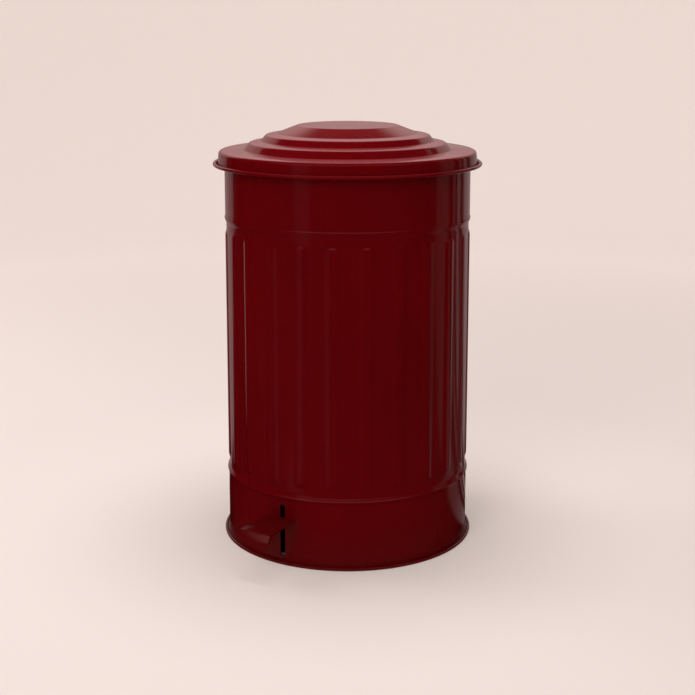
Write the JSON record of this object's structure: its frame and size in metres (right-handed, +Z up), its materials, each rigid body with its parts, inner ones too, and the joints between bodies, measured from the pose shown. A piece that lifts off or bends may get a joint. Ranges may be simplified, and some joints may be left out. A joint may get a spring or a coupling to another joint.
{
  "type": "oily waste can",
  "caption": "Round ribbed steel waste can with a stepped lid that a foot pedal opens, a rolled foot ring and a lift-out inner bucket.",
  "frame": {"origin": "where the can's axis meets the floor it stands on, in the middle of the base pan's flat underside", "axes": "+Z up along the can's axis, -Y towards the pedal, +Y towards the lid's hinge, +X to the right of someone facing the pedal"},
  "size_m": [0.3172, 0.3775, 0.4933],
  "materials": {
    "red_lacquer": "deep crimson gloss lacquer",
    "zinc_steel": "zinc-plated, dull",
    "bright_steel": "bright plated wire and pins",
    "black_rubber": "matt",
    "bucket_plastic": "moulded, satin",
    "white_nylon": "moulded, satin"
  },
  "bodies": {
    "can": {"body_shell": "red_lacquer", "foot_ring": "red_lacquer", "base_pan": "zinc_steel", "inner_floor": "zinc_steel", "floor_bush": "white_nylon", "pivot_bracket": "zinc_steel", "pivot_pin": "bright_steel", "pivot_pin_clip": "bright_steel", "rod_guide": "zinc_steel", "hinge_bracket": "red_lacquer", "hinge_pin": "bright_steel", "hinge_pin_clip": "bright_steel", "hinge_rivet_1": "bright_steel", "hinge_rivet_2": "bright_steel", "hinge_rivet_3": "bright_steel", "hinge_rivet_4": "bright_steel"},
    "lid": {"lid_shell": "red_lacquer", "lid_leaf": "red_lacquer", "lift_cam": "zinc_steel", "leaf_rivet_1": "bright_steel", "leaf_rivet_2": "bright_steel", "bumper_front": "black_rubber", "bumper_left": "black_rubber", "bumper_right": "black_rubber"},
    "pedal": {"pedal_lever": "red_lacquer", "pedal_tread": "red_lacquer"},
    "rod": {"push_rod": "bright_steel", "rod_cap": "white_nylon"},
    "bucket": {"inner_bucket": "bucket_plastic"},
    "bail": {"bail_wire": "bright_steel", "bail_grip": "bucket_plastic"}
  },
  "joints": [
    {"name": "lid_hinge", "type": "hinge", "parent": "can", "child": "lid", "pos_m": [0, 0.168, 0.449], "axis": [-1, 0, 0], "range_deg": [0, 70]},
    {"name": "pedal_pivot", "type": "hinge", "parent": "can", "child": "pedal", "pos_m": [0, -0.022, 0.03201], "axis": [1, 0, 0], "range_deg": [0, 13.13]},
    {"name": "rod_slide", "type": "slide", "parent": "can", "child": "rod", "axis": [0, 0, 1], "range_m": [0, 0.0367]},
    {"name": "bucket_lift", "type": "slide", "parent": "can", "child": "bucket", "axis": [0, 0, 1], "range_m": [0, 0.005]},
    {"name": "bail_hinge", "type": "hinge", "parent": "bucket", "child": "bail", "pos_m": [0, 0, 0.40849], "axis": [-1, 0, 0], "range_deg": [0, 33]}
  ],
  "couplings": [
    {"joint": "pedal_pivot", "follows": "lid_hinge", "ratio": 0.1875},
    {"joint": "rod_slide", "follows": "lid_hinge", "m_per_rad": 0.03}
  ]
}
